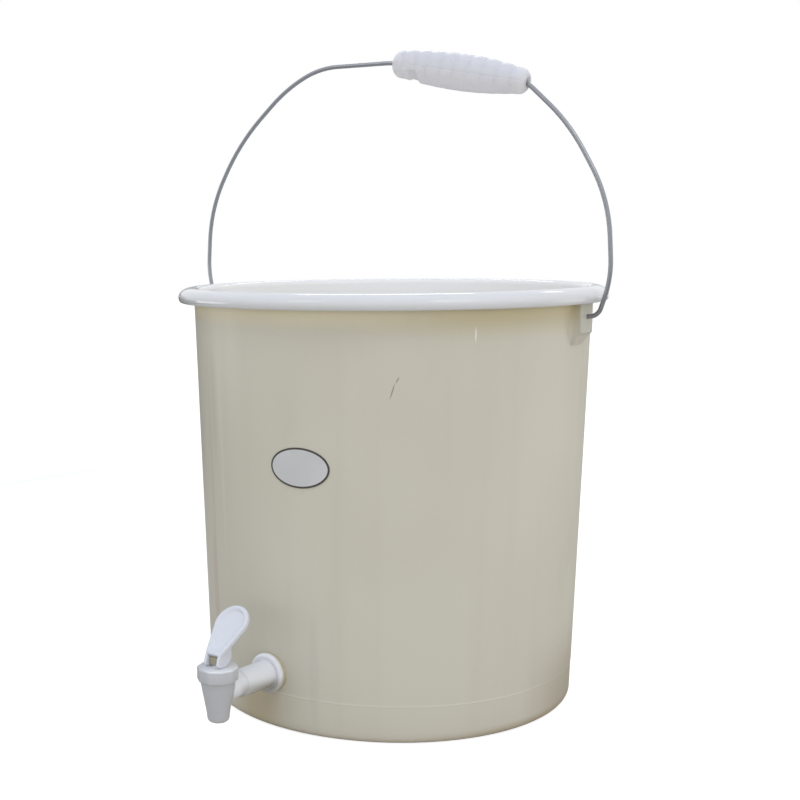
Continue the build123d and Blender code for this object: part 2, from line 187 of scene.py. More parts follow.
def draw_profile(name, corners):
    """Line through corners of (place in metres, rounding radius in metres), left open in edit mode."""
    deselect_everything()
    bpy.ops.mesh.primitive_plane_add(size=2 * MM)
    piece = name_piece(name)
    bpy.ops.object.mode_set(mode="EDIT")
    bpy.ops.mesh.select_mode(type="VERT")
    bpy.ops.mesh.select_all(action="SELECT")
    bpy.ops.mesh.merge(type="CENTER")
    places = [place for place, rounding in corners]
    bpy.ops.transform.translate(value=places[0])
    for before, after in zip(places, places[1:]):
        bpy.ops.mesh.extrude_vertices_move(TRANSFORM_OT_translate={"value": after - before})
    for number in range(1, len(corners) - 1):
        place, rounding = corners[number]
        if rounding:
            first = (place - places[number - 1]).normalized()
            second = (places[number + 1] - place).normalized()
            reach = rounding * tan(first.angle(second) / 2)
            pick(piece, lambda vertex: (vertex.co - place).length < 0.001 * MM)
            bpy.ops.mesh.bevel(affect="VERTICES", offset=reach, segments=round_steps, profile=0.5)
    return piece


def on_axis(profile, foot=Vector((0, 0, 0))):
    """Corners of a profile of (radius, height, rounding) in millimetres, stood upright on a foot."""
    return [(foot + at(radius, 0, height), rounding * MM) for radius, height, rounding in profile]


def quarter(middle, wide, tall, start, count=10):
    """Profile points along a quarter of an ellipse, from a starting angle in degrees, turning clockwise."""
    radius, height = middle
    turns = [radians(start - 90 * step / count) for step in range(count + 1)]
    return [(radius + wide * cos(turn), height + tall * sin(turn), 0) for turn in turns]


# %% Spin or extrude a profile
outline_merge = 0.01 * MM


def spin_profile(name, corners, steps, centre=(0, 0, 0), axis=(0, 0, 1), smooth=30):
    """Piece turned about an axis from a profile."""
    piece = draw_profile(name, corners)
    bpy.ops.mesh.select_all(action="SELECT")
    bpy.ops.mesh.spin(steps=steps, angle=tau, center=centre, axis=axis)
    close_piece(piece, smooth)
    return piece


def extrude_outline(name, corners, run):
    """Piece drawn as a closed outline, filled and extruded by a run, left open in edit mode."""
    piece = draw_profile(name, corners)
    bpy.ops.mesh.select_all(action="SELECT")
    bpy.ops.mesh.remove_doubles(threshold=outline_merge)
    bpy.ops.mesh.edge_face_add()
    bpy.ops.mesh.extrude_region_move(TRANSFORM_OT_translate={"value": run})
    bpy.ops.mesh.select_all(action="SELECT")
    bpy.ops.mesh.normals_make_consistent(inside=False)
    return piece


# %% Combine pieces
def combine(piece, tool, operation, smooth=30):
    """Apply a boolean with a tool piece, and remove the tool."""
    choose(piece)
    cut = piece.modifiers.new("combine", "BOOLEAN")
    cut.object = tool
    cut.operation = operation
    cut.solver = "EXACT"
    bpy.ops.object.modifier_apply(modifier=cut.name)
    bpy.data.objects.remove(tool)
    bpy.ops.object.shade_smooth_by_angle(angle=radians(smooth))
    print(piece.name, operation.lower(), len(piece.data.polygons), "faces")


def use_bar(piece, start, end, radius, operation="DIFFERENCE", steps=96, smooth=30):
    """Cut a round bar between two places out of a piece, or join it on. Its radius is in millimetres."""
    deselect_everything()
    run = end - start
    bpy.ops.mesh.primitive_cylinder_add(
        vertices=steps,
        radius=radius * MM,
        depth=run.length,
        location=(start + end) / 2,
        rotation=run.to_track_quat("Z", "Y").to_euler(),
    )
    bar = name_piece("bar")
    apply_place(bar)
    combine(piece, bar, operation, smooth)


def dress(piece, body, node, finish):
    """Give a piece its finish and body, and hide the model node that it stands for."""
    piece.data.materials.clear()
    piece.data.materials.append(finish)
    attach(piece, body)
    if node:
        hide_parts(node)


# %% [markdown]
# ## Finishes
#
# A finish is a small tree of nodes that ends in a Principled shader. The moulded plastics differ in colour
# and gloss, but each shows the same things from near by: cloudy colour from the melt, a fine skin, and marks
# of use. Pictures could be wrapped on instead, but noise needs no unwrapping. All the patterns read Object
# coordinates, so they stay on the piece when it moves and survive the export.

# %% Start a finish
def add_node(tree, kind, inputs=None, **settings):
    """New node with its settings and its unlinked inputs."""
    node = tree.nodes.new(kind)
    for name, value in settings.items():
        setattr(node, name, value)
    for name, value in (inputs or {}).items():
        node.inputs[name].default_value = value
    return node


def feed(tree, socket, value):
    """Link a value to a socket, or set it there if it is fixed."""
    if isinstance(value, bpy.types.NodeSocket):
        tree.links.new(value, socket)
    else:
        socket.default_value = value


def object_place(tree):
    """Place on the piece, in Object coordinates."""
    return add_node(tree, "ShaderNodeTexCoord").outputs["Object"]


def start_finish(name, roughness, metallic=0.0):
    """New material, its tree, its shader and its Object coordinates."""
    finish = bpy.data.materials.new(name)
    finish.use_nodes = True
    tree = finish.node_tree
    shader = tree.nodes["Principled BSDF"]
    shader.inputs["Roughness"].default_value = roughness
    shader.inputs["Metallic"].default_value = metallic
    return finish, tree, shader, object_place(tree)


# %% Measure and shape a pattern
def cloud(tree, place, scale, detail=3.0, stretch=(1, 1, 1)):
    """Noise of a size given as waves per metre, stretched along the axes."""
    mapping = add_node(tree, "ShaderNodeMapping", {"Scale": stretch})
    tree.links.new(place, mapping.inputs["Vector"])
    noise = add_node(tree, "ShaderNodeTexNoise", {"Scale": scale, "Detail": detail})
    tree.links.new(mapping.outputs["Vector"], noise.inputs["Vector"])
    return noise.outputs["Fac"]


def split(tree, place):
    """X, Y and Z of a place."""
    parts = add_node(tree, "ShaderNodeSeparateXYZ")
    tree.links.new(place, parts.inputs["Vector"])
    return parts.outputs


def vector_math(tree, operation, place, other=(0, 0, 0)):
    """Measure a place against a fixed vector, or change it by one."""
    math = add_node(tree, "ShaderNodeVectorMath", operation=operation)
    math.inputs[1].default_value = other
    tree.links.new(place, math.inputs[0])
    is_number = operation in ("DOT_PRODUCT", "DISTANCE", "LENGTH")
    return math.outputs["Value" if is_number else "Vector"]


def band(tree, value, low, high, to_low=0.0, to_high=1.0):
    """Smooth step of a value between two limits."""
    limits = {"From Min": low, "From Max": high, "To Min": to_low, "To Max": to_high}
    step = add_node(tree, "ShaderNodeMapRange", limits, interpolation_type="SMOOTHSTEP")
    tree.links.new(value, step.inputs["Value"])
    return step.outputs["Result"]


def times(tree, first, second, operation="MULTIPLY"):
    """Two values multiplied, or joined by another operation of the Math node."""
    math = add_node(tree, "ShaderNodeMath", operation=operation)
    feed(tree, math.inputs[0], first)
    feed(tree, math.inputs[1], second)
    return math.outputs[0]


# %% Blend, tint and bump
def blend(tree, share, first, second, blend_type="MIX"):
    """Mix of two colours, each a socket or a linear (red, green, blue)."""
    mix = add_node(tree, "ShaderNodeMix", data_type="RGBA", blend_type=blend_type)
    feed(tree, mix.inputs[0], share)
    for socket, colour in ((mix.inputs[6], first), (mix.inputs[7], second)):
        is_fixed = not isinstance(colour, bpy.types.NodeSocket)
        feed(tree, socket, (*colour, 1) if is_fixed else colour)
    return mix.outputs[2]


def tint(finish, share, tone):
    """Blend the colour that a finish has so far towards a tone, by a share."""
    tree = finish.node_tree
    base = tree.nodes["Principled BSDF"].inputs["Base Color"]
    tree.links.new(blend(tree, share, base.links[0].from_socket, tone), base)


def bump(tree, shader, height, strength, distance):
    """Fine relief from a height value, over a distance in millimetres."""
    relief = add_node(tree, "ShaderNodeBump", {"Strength": strength, "Distance": distance * MM})
    tree.links.new(height, relief.inputs["Height"])
    tree.links.new(relief.outputs["Normal"], shader.inputs["Normal"])


# %% [markdown]
# ### Cream plastic
#
# The bucket is milky polyethylene with upright streaks from its mould. Just under the lid its colour holds
# a warm darker band of painted shadow, deepest on the right where the lid's shadow falls, and a paler band
# of painted light on the left. It is browner towards the foot and the right bottom corner, and it carries
# painted shade below the tap, a painted highlight along the step, two scratches, a faint grey stripe, a
# painted highlight line and painted reflections. Streaks and scuffs are stretched noise. A mark has its own
# place, so it is an oval of coordinates that a Mapping node lays on the wall, which is simpler than painting
# it.

# %% Scratches and painted marks on the wall
rim_bottom = 304.0
base_radius = 141.7
wall_spread = 9.1
mark_deep = 12.0


def wall_radius(height):
    """Outer radius of the tapered wall at a height, both in millimetres."""
    return base_radius + wall_spread * height / rim_bottom


def wall_mark(tree, place, turn, level, half_wide, half_tall, tilt, share):
    """Share of a long mark on the wall, at a turn from the tap and a level, with fading ends."""
    radius = wall_radius(level)
    lay = {
        "Location": at(radius * sin(radians(turn)), -radius * cos(radians(turn)), level),
        "Rotation": (0, radians(tilt), radians(turn)),
        "Scale": at(half_wide, mark_deep, half_tall),
    }
    mapping = add_node(tree, "ShaderNodeMapping", lay, vector_type="TEXTURE")
    tree.links.new(place, mapping.inputs["Vector"])
    away = vector_math(tree, "LENGTH", mapping.outputs["Vector"])
    return band(tree, away, 1.0, 0.35, 0.0, share)


# turn, level, half width, half height, tilt and share of each mark, and its tone
scratch = (0.250, 0.225, 0.150)
scratches_and_painted_marks = (
    # two scratches
    (36.9, 250.0, 0.7, 7.5, 17, 0.75, scratch),
    (38.2, 257.6, 0.7, 3.2, 25, 0.70, scratch),
    # painted highlight: a thin bright upright line high on the wall
    (58.4, 286.8, 0.8, 6.5, 0, 0.80, (0.880, 0.870, 0.810)),
    # a faint grey upright stripe low on the wall
    (14.8, 45.0, 5.5, 60.0, 0, 0.18, (0.500, 0.495, 0.470)),
    # painted reflections: light and dark upright streaks on the left side of the wall
    (-27.0, 185.0, 4.5, 120.0, 0, 0.45, (0.560, 0.490, 0.430)),
    (-19.3, 190.0, 3.0, 110.0, 0, 0.35, (0.680, 0.655, 0.575)),
    (-23.5, 235.0, 7.0, 60.0, 0, 0.40, (0.520, 0.475, 0.385)),
    (-28.0, 85.0, 7.0, 70.0, 0, 0.45, (0.520, 0.440, 0.380)),
)
print(len(scratches_and_painted_marks), "marks on the wall")


# %% Painted shadow and light under the lid, and browner zones of the wall
def tint_zones(finish, place, painted_light_share):
    """Painted lid shadow as a warm band, painted light as a pale band, and a browner right corner and foot.
    """
    tree = finish.node_tree
    level = split(tree, place)["Z"]
    side = vector_math(tree, "DOT_PRODUCT", place, to_right)
    below_rim = band(tree, level, (rim_bottom + 1.5) * MM, (rim_bottom - 0.5) * MM)
    for (start, end), (left, right), (left_share, right_share), tone in (
        # painted shadow: a warm darker band under the lid, deepest on the right
        ((280, 302), (-60, 70), (0.05, 0.95), (0.540, 0.480, 0.310)),
        # painted light: a paler band under the lid, strongest on the left
        ((287, 303), (-60, 70), (painted_light_share, 0.4 * painted_light_share), (0.850, 0.770, 0.560)),
        ((75, 15), (85, 140), (0.0, 0.90), (0.440, 0.395, 0.310)),
        ((9, 3), (0, 125), (0.18, 0.66), (0.380, 0.305, 0.200)),
    ):
        upright = band(tree, level, start * MM, end * MM)
        across = band(tree, side, left * MM, right * MM, left_share, right_share)
        tint(finish, times(tree, times(tree, upright, across), below_rim), tone)


# %% Cream polyethylene of the bucket
def cream_polyethylene(name, painted_light_share):
    """Milky cream plastic with streaks, scuffs and scratches, and painted highlights, reflections, light and
    shade.
    """
    finish, tree, shader, place = start_finish(name, 0.38)
    shader.inputs["Specular IOR Level"].default_value = 0.15
    streaks = cloud(tree, place, 1.0, 4.0, (42, 42, 1.5))
    clouds = cloud(tree, place, 6.0, 2.0)
    skin = cloud(tree, place, 900.0, 2.0)
    colour = blend(tree, band(tree, clouds, 0.3, 0.7), (0.605, 0.578, 0.492), (0.640, 0.616, 0.533))
    tree.links.new(colour, shader.inputs["Base Color"])
    tint(finish, band(tree, streaks, 0.45, 0.75, 0.0, 0.30), (0.560, 0.530, 0.446))
    level = split(tree, place)["Z"]
    # Painted highlight: a lighter line along the edge of the step.
    above_step = band(tree, level, 27.2 * MM, 27.8 * MM)
    below_step = band(tree, level, 29.2 * MM, 28.4 * MM, 0.0, 0.55)
    tint(finish, times(tree, above_step, below_step), (0.760, 0.740, 0.660))
    # Painted shadow: a warm darker patch on the wall below and beside the tap.
    tap_shadow_reach = vector_math(tree, "DISTANCE", place, at(-14, -140, 14))
    tint(finish, band(tree, tap_shadow_reach, 35 * MM, 6 * MM, 0.0, 0.55), (0.430, 0.345, 0.190))
    tint_zones(finish, place, painted_light_share)
    scuffs = cloud(tree, place, 16.0, 6.0, (1, 1, 0.4))
    tint(finish, band(tree, scuffs, 0.60, 0.75, 0.0, 0.20), (0.500, 0.462, 0.380))
    # Scratches, a grey stripe, a painted highlight line and painted reflections.
    for *mark, tone in scratches_and_painted_marks:
        tint(finish, wall_mark(tree, place, *mark), tone)
    tree.links.new(band(tree, streaks, 0.3, 0.8, 0.32, 0.46), shader.inputs["Roughness"])
    bump(tree, shader, skin, 0.15, 0.05)
    return finish


# %% [markdown]
# ### White plastics
#
# The lid, the tap and the grip are whiter and glossier than the bucket. One function makes them all, and
# each gets its own tone, gloss and skin. Some places carry painted light or painted shade: the lighter
# inside of the lid, the bonnet's lighter top and darker left side, the tap body's darker cup and underside,
# and the grip's lighter lower side. Such a place is told by a level, by a side or by its distance from an
# upright line, so the same few helpers serve every piece, and no tone has to be painted by hand.

# %% White plastics of the lid, the tap and the grip
def white_plastic(name, colour, shade, roughness, skin_scale, relief=0.08):
    """Moulded plastic with a cloudy tone, a fine skin and slight variation of gloss."""
    finish, tree, shader, place = start_finish(name, roughness)
    clouds = cloud(tree, place, 18.0, 3.0)
    skin = cloud(tree, place, skin_scale, 3.0)
    tone = blend(tree, band(tree, clouds, 0.3, 0.75), colour, shade)
    tree.links.new(tone, shader.inputs["Base Color"])
    gloss = band(tree, skin, 0.3, 0.7, roughness * 0.85, roughness * 1.2)
    tree.links.new(gloss, shader.inputs["Roughness"])
    bump(tree, shader, skin, relief, 0.02)
    return finish


# %% Tones told by their place
def tone_near_line(finish, middle, reach, edge, share, tone, widening=0.0):
    """Tint a finish near an upright line, in a reach in millimetres that may widen upwards.

    The edge is the half width of the change. A negative edge tints what lies beyond the reach instead.
    """
    tree = finish.node_tree
    place = object_place(tree)
    away = vector_math(tree, "DISTANCE", vector_math(tree, "MULTIPLY", place, (1, 1, 0)), middle)
    beyond = times(tree, away, times(tree, split(tree, place)["Z"], widening), "SUBTRACT")
    tint(finish, band(tree, beyond, (reach + edge) * MM, (reach - edge) * MM, 0.0, share), tone)


def tone_above(finish, start, end, tone):
    """Tint a finish above a level, from a start to an end in millimetres."""
    tree = finish.node_tree
    level = split(tree, object_place(tree))["Z"]
    tint(finish, band(tree, level, start * MM, end * MM), tone)


def tone_on_side(finish, middle, side, start, end, tone):
    """Tint a finish along a direction from a middle, from a start to an end in millimetres."""
    tree = finish.node_tree
    away = vector_math(tree, "SUBTRACT", object_place(tree), middle)
    along = vector_math(tree, "DOT_PRODUCT", away, side)
    tint(finish, band(tree, along, start * MM, end * MM), tone)


def shade_under_barrel(finish, front, back, high, low, tone):
    """Painted shade: darken the lower side of the barrel, lower down and fainter towards its front."""
    tree = finish.node_tree
    place = split(tree, object_place(tree))
    lowering = band(tree, place["Y"], back * MM, front * MM, 0.0, 4.0 * MM)
    level = times(tree, place["Z"], lowering, "SUBTRACT")
    share = band(tree, level, high * MM, low * MM)
    for start, end, first, last in (
        (back, front, 1.0, 0.5),
        (front - 1, front + 6, 0.0, 1.0),
        (back + 1, back - 1, 0.55, 1.0),
    ):
        share = times(tree, share, band(tree, place["Y"], start * MM, end * MM, first, last))
    tint(finish, share, tone)


# %% [markdown]
# ### Metal, rubber and silicone
#
# The galvanised wire and the steel spring are metals with a fine mottle. The washers are tan rubber and the
# valve's cup is milky silicone, both dull. Only their base colour and roughness differ, so each kind is one
# short function.

# %% Metals and soft seals
def bare_metal(name, light, dark, roughness, scale):
    """Metal with a fine mottle of two tones."""
    finish, tree, shader, place = start_finish(name, roughness, 1.0)
    mottle = cloud(tree, place, scale, 4.0)
    tree.links.new(blend(tree, band(tree, mottle, 0.35, 0.65), dark, light), shader.inputs["Base Color"])
    gloss = band(tree, mottle, 0.3, 0.7, roughness * 0.8, roughness * 1.25)
    tree.links.new(gloss, shader.inputs["Roughness"])
    bump(tree, shader, mottle, 0.1, 0.02)
    return finish


def soft_seal(name, colour, shade, roughness):
    """Rubber or silicone with a dull, slightly mottled skin."""
    finish, tree, shader, place = start_finish(name, roughness)
    mottle = cloud(tree, place, 220.0, 4.0)
    tree.links.new(blend(tree, band(tree, mottle, 0.3, 0.7), colour, shade), shader.inputs["Base Color"])
    bump(tree, shader, mottle, 0.3, 0.05)
    return finish


# %% Finishes of the bucket and the lid
bucket_axis = (0, 0, 0)
ear_face_reach = 156.0
lid_mouth_reach = 149.0

# The bucket carries the painted light and shadow under the lid; the ears carry the painted shadow alone.
cream = cream_polyethylene("cream_polyethylene", 0.7)
ear_cream = cream_polyethylene("ear_polyethylene", 0.0)
tone_near_line(ear_cream, bucket_axis, ear_face_reach, -1.2, 0.85, (0.505, 0.497, 0.440))
lid_white = white_plastic("glossy_lid_white", (0.672, 0.681, 0.704), (0.648, 0.655, 0.674), 0.08, 1200.0)
# Painted light: the recess inside the lid's mouth is lighter and warmer than the roll.
tone_near_line(lid_white, bucket_axis, lid_mouth_reach, 1.0, 1.0, (0.810, 0.803, 0.790))
label_field = white_plastic("label_foil", (0.635, 0.645, 0.660), (0.545, 0.555, 0.570), 0.32, 900.0)
label_border = white_plastic("label_border", (0.045, 0.040, 0.034), (0.075, 0.066, 0.055), 0.45, 900.0)
print("finishes so far:", len(bpy.data.materials))

# %% Finishes of the tap
tap_level = 42.7
tap_wall = wall_radius(tap_level)
spout_y = -(tap_wall + 55.0)
spout = at(0, spout_y, 0)
barrel_front = -185.2
barrel_back = -149.5
cup_reach = 3.6
cup_widening = 0.18

tap_white = white_plastic("tap_white", (0.708, 0.733, 0.808), (0.684, 0.706, 0.772), 0.14, 1500.0)
# The bonnet is a darker copy of the tap's white, painted shade, with painted light on its top and painted
# shade on its left side.
bonnet_white = white_plastic("bonnet_white", (0.590, 0.605, 0.640), (0.560, 0.575, 0.608), 0.24, 1500.0)
tone_above(bonnet_white, 59.6, 61.0, (0.760, 0.775, 0.815))
tone_on_side(bonnet_white, spout, -to_right, 2, 12, (0.505, 0.518, 0.552))
# The tap body is a lighter copy of the lever's white, painted light, and its cup is darker, painted shade.
tap_body_white = white_plastic("tap_body_white", (0.840, 0.857, 0.900), (0.815, 0.830, 0.866), 0.20, 1500.0)
tone_near_line(tap_body_white, spout, cup_reach, 0.3, 0.8, (0.440, 0.450, 0.472), cup_widening)
# Painted shade: the underside of the barrel is darker.
shade_under_barrel(tap_body_white, barrel_front, barrel_back, 45.0, 35.5, (0.360, 0.340, 0.295))
# Painted shade: the stem's dark warm tone stands for the shade inside the lever's slot.
aged_stem = white_plastic("aged_stem", (0.400, 0.360, 0.270), (0.330, 0.290, 0.205), 0.35, 1500.0)
# Tan rubber whose tone also stands for the amber contact shadow round the flange, partly painted shadow.
tan_rubber = soft_seal("tan_rubber", (0.58, 0.52, 0.38), (0.50, 0.44, 0.30), 0.62)
milky_silicone = soft_seal("milky_silicone", (0.66, 0.66, 0.65), (0.58, 0.58, 0.57), 0.45)
spring_steel = bare_metal("spring_steel", (0.62, 0.63, 0.65), (0.45, 0.46, 0.48), 0.28, 600.0)
print("finishes so far:", len(bpy.data.materials))

# %% Finishes of the handle
grip_middle = Vector(joints["grip_spin"]["pos_m"])
grip_along = Vector(joints["grip_spin"]["axis"]).normalized()
grip_side = Vector((0, 0, 1)).cross(grip_along).normalized()
grip_up = grip_along.cross(grip_side).normalized()

galvanised = bare_metal("galvanised_wire", (0.345, 0.360, 0.394), (0.280, 0.292, 0.320), 0.30, 2500.0)
grip_white = white_plastic("grip_white", (0.608, 0.618, 0.672), (0.580, 0.589, 0.635), 0.30, 900.0, 0.02)
# Painted light: the grip's lower side is lighter.
tone_on_side(grip_white, grip_middle, -grip_up, -12, 11, (0.738, 0.728, 0.755))
grip_shader = grip_white.node_tree.nodes["Principled BSDF"]
grip_shader.inputs["Subsurface Weight"].default_value = 1.0
grip_shader.inputs["Subsurface Radius"].default_value = (1.0, 1.0, 1.0)
grip_shader.inputs["Subsurface Scale"].default_value = 10 * MM
grip_shader.inputs["Specular IOR Level"].default_value = 0.35
print("made", len(bpy.data.materials), "finishes")

# %% [markdown]
# ## Bucket
#
# The bucket is one moulding: a tapered wall, a flat floor with a rounded foot, a small step where the foot
# begins, and a rim that turns outwards and down. A cone with a Solidify would do for the wall alone. One
# profile spun about the axis makes the floor, the step and the rim with it. Extra points at two levels keep
# the cut for the tap in a narrow band of faces, so that the wall above stays smooth.

# %% Spin the shell
wall = 2.2
floor = 2.6
gate_radius = 6.2
gate_deep = 0.5
groove_inner = 104.0
groove_outer = 109.0
groove_deep = 0.6
groove_slope = 0.8
step_level = 27.0
step_depth = 0.25
step_slope = 1.0
band_top = 64.0
upper_band = 268.0
rim_top = 313.0
rim_thick = 2.0
rim_radius = 158.2
rim_inner = rim_radius - rim_thick

shell_profile = [
    (0, gate_deep, 0),
    (gate_radius - 0.6, gate_deep, 0.3),
    (gate_radius, 0, 0),
    (groove_inner, 0, 0.3),
    (groove_inner + groove_slope, groove_deep, 0.3),
    (groove_outer - groove_slope, groove_deep, 0.3),
    (groove_outer, 0, 0.3),
    (wall_radius(0) - step_depth, 0, 5.0),
    (wall_radius(step_level) - step_depth, step_level, 0.3),
    (wall_radius(step_level), step_level + step_slope, 0.5),
    (wall_radius(band_top), band_top, 0),
    (wall_radius(upper_band), upper_band, 0),
    (wall_radius(rim_top - rim_thick), rim_top - rim_thick, 0.8),
    (rim_inner, rim_top - rim_thick, 0.8),
    (rim_inner, rim_bottom, 0.6),
    (rim_radius, rim_bottom, 0.6),
    (rim_radius, rim_top, 1.0),
    (wall_radius(rim_top) - wall, rim_top, 0.8),
    (wall_radius(floor) - wall, floor, 4.0),
    (0, floor, 0),
]
shell = spin_profile("bucket_shell", on_axis(shell_profile), 256)

# %% Cut the hole for the tap
hole_radius = 8.4
hole_start = at(0, -tap_wall - 4, tap_level)
hole_end = at(0, -tap_wall + 6, tap_level)
use_bar(shell, hole_start, hole_end, hole_radius, smooth=25)
dress(shell, "bucket", "bucket_body", cream)

# %% [markdown]
# ## Bail ears
#
# Two blocks under the rim carry the wire's hooks in blind holes. A cube could be bevelled into one, but the
# hollow curves where it meets the wall are easier to draw. So each ear is its outline from above, extruded
# upwards. Its lower face is drawn down into a foot that tapers onto the wall, and a bar cuts the hole. The
# second ear is the same form on the other side.

# %% Shape one ear
bail_turn = radians(7.4)
pivot_level = 294.7
hook_start = 151.9
hook_gap = 0.25
wire_radius = 1.6
ear_face = 157.7
ear_inner = 148.4
ear_root = 150.1
ear_bottom = 283.5
ear_top = 310.6
ear_half = 11.2
ear_flare = 4.2
ear_foot = 9.0
toe_cover = 0.4
toe_narrowing = 0.86


def bail_ear(name, turn):
    """Ear block with a foot and a blind hole, turned about the bucket's axis."""
    wide = ear_half + ear_flare
    outline = [
        (ear_inner, -wide, 0),
        (ear_root - 0.5, -wide, 0),
        (ear_root, -ear_half, 3.0),
        (ear_face, -ear_half, 1.5),
        (ear_face, ear_half, 1.5),
        (ear_root, ear_half, 3.0),
        (ear_root - 0.5, wide, 0),
        (ear_inner, wide, 0),
        (ear_inner, -wide, 0),
    ]
    corners = [(at(radius, across, ear_bottom), rounding * MM) for radius, across, rounding in outline]
    ear = extrude_outline(name, corners, at(0, 0, ear_top - ear_bottom))
    pick(ear, lambda face: face.normal.z < -0.9, "faces")
    bpy.ops.mesh.extrude_region_move(TRANSFORM_OT_translate={"value": at(0, 0, -ear_foot)})
    toe = wall_radius(ear_bottom - ear_foot) + toe_cover - ear_inner
    taper = (toe / (ear_face - ear_inner), toe_narrowing, 1)
    bpy.ops.transform.resize(value=taper, center_override=at(ear_inner, 0, ear_bottom - ear_foot))
    close_piece(ear)
    hook = at(hook_start, 0, pivot_level)
    use_bar(ear, hook, at(ear_face + 3, 0, pivot_level), wire_radius + hook_gap, steps=48)
    ear.rotation_euler = (0, 0, turn)
    apply_place(ear)
    return ear


for side, turn in (("right", bail_turn), ("left", bail_turn + pi)):
    ear = bail_ear(f"bail_ear_{side}", turn)
    dress(ear, "bucket", None, ear_cream)

# %% [markdown]
# ## Lid
#
# The lid is pushed over the rim. Its edge is a broad soft roll with the nose low on the outside, and behind
# the roll it drops to a panel inside the mouth. A torus could stand for the roll, but it would be too round.
# Three quarters of ellipses in one spun profile read as one curve, and the panel carries a low ring that
# stiffens it.

# %% Spin the lid
lid_top = 315.0
lid_radius = 163.0
nose_level = 307.8
crest_radius = 152.0
panel_top = 300.8
panel_bottom = 298.6
ring_inner = 91.0
ring_outer = 101.0
ring_slope = 2.5
ring_top = panel_top + 1.2
lip_inner = 158.6
lip_outer = 160.8
plug_high = 148.47
plug_low = 148.04
lid_wall = 2.0
recess_edge = lid_top - 4.0
recess_high = plug_high - lid_wall

lid_profile = [
    (0, panel_top, 0),
    (ring_inner, panel_top, 2.0),
    (ring_inner + ring_slope, ring_top, 1.2),
    (ring_outer - ring_slope, ring_top, 1.2),
    (ring_outer, panel_top, 2.0),
    (plug_low - lid_wall, panel_top, 3.0),
]
inside = (crest_radius, recess_edge)
lid_profile += quarter(inside, crest_radius - recess_high, lid_top - recess_edge, 180)
above = (crest_radius, nose_level)
lid_profile += quarter(above, lid_radius - crest_radius, lid_top - nose_level, 90, 16)[1:]
under = (lip_outer, nose_level)
lid_profile += quarter(under, lid_radius - lip_outer, nose_level - rim_bottom, 0)[1:]
lid_profile += [
    (lip_inner, rim_bottom, 0.3),
    (lip_inner, rim_top, 0.5),
    (plug_high, rim_top, 0.5),
    (plug_low, panel_bottom, 3.0),
    (0, panel_bottom, 0),
]
lid = spin_profile("lid_roll_and_panel", on_axis(lid_profile), 256)
dress(lid, "lid", "bucket_lid", lid_white)

# %% [markdown]
# ## Label
#
# A small blank sticker sits on the wall, with a dark edge round a pale field. It could be a tone of the wall,
# but a real sticker has an edge that catches the light. A filled circle is squeezed to an oval, given its
# border by an inset, and divided ring by ring so that it can bend. A Shrinkwrap throws it onto the wall and
# a Solidify thickens it.

# %% Cut the label
label_level = 195.4
label_turn = radians(11.5)
label_wide = 46.0
label_tall = 28.4
label_thick = 0.55
label_gap = 0.03
label_rings = 6
border_wide = 1.3
label_side = Vector((cos(label_turn), sin(label_turn), 0))
label_out = Vector((sin(label_turn), -cos(label_turn), 0))
label_middle = (label_out * wall_radius(label_level) + Vector((0, 0, label_level))) * MM

deselect_everything()
bpy.ops.mesh.primitive_circle_add(
    vertices=96,
    radius=0.5,
    fill_type="NGON",
    location=label_middle,
    rotation=(pi / 2, 0, label_turn),
)
label = name_piece("label_oval")
label.scale = (label_wide * MM, label_tall * MM, 1)
apply_place(label)
label.data.materials.append(label_border)
label.data.materials.append(label_field)
open_piece(label)
pick(label, lambda face: True, "faces")
bpy.ops.mesh.inset(thickness=border_wide * MM)
for ring in range(label_rings, 1, -1):
    bpy.ops.mesh.extrude_region_move()
    bpy.ops.transform.resize(value=[(ring - 1) / ring] * 3)
print("label cut into", label_rings, "rings")


# %% Colour and bend the label
def in_field(face):
    """Whether a face of the flat label lies inside its border."""
    away = face.calc_center_median() - label_middle
    across = away.dot(label_side) / (label_wide / 2 - border_wide)
    up = away.z / (label_tall / 2 - border_wide)
    return across ** 2 + up ** 2 < MM ** 2


print("label field of", pick(label, in_field, "faces"), "faces")
label.active_material_index = 1
bpy.ops.object.material_slot_assign()
choose(label)
throw = label.modifiers.new("throw", "SHRINKWRAP")
throw.target = shell
throw.wrap_method = "NEAREST_SURFACEPOINT"
throw.wrap_mode = "ON_SURFACE"
throw.offset = label_gap * MM
bpy.ops.object.modifier_apply(modifier=throw.name)
thicken = label.modifiers.new("thicken", "SOLIDIFY")
thicken.thickness = label_thick * MM
thicken.offset = 1.0
bpy.ops.object.modifier_apply(modifier=thicken.name)
bpy.ops.object.shade_smooth_by_angle(angle=radians(40))
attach(label, "bucket")
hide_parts("wall_label")
print("label", len(label.data.polygons), "faces")

# %% [markdown]
# ## Grip
#
# The grip is a swelling white tube, loose on the wire. It has shallow rings for the fingers, which are worn
# flat on the palm side, and a parting line where the mould closed. A bump in the finish could fake the rings,
# but they show in the outline. So they are arcs between grooves in a profile that lies along the wire's
# straight stretch and is spun about that line, with the bore in it and a wider mouth at each end. Moving a
# few vertices afterwards presses in the parting line and a notch for the little finger.

# %% Draw the line of the grip
grip_half = 108.8 / 2
grip_mid_radius = 12.9
left_end_radius = 8.4
right_end_radius = 7.4
grip_bore = 2.0
mouth_deep = 8.0
left_mouth = 2.8
right_mouth = 3.8
left_dome = 6.5
right_dome = 4.6
ring_count = 10
ring_tall = 1.05
ring_sink = 0.45
ring_fullness = 0.7
ring_pitch = 2 * grip_half / ring_count


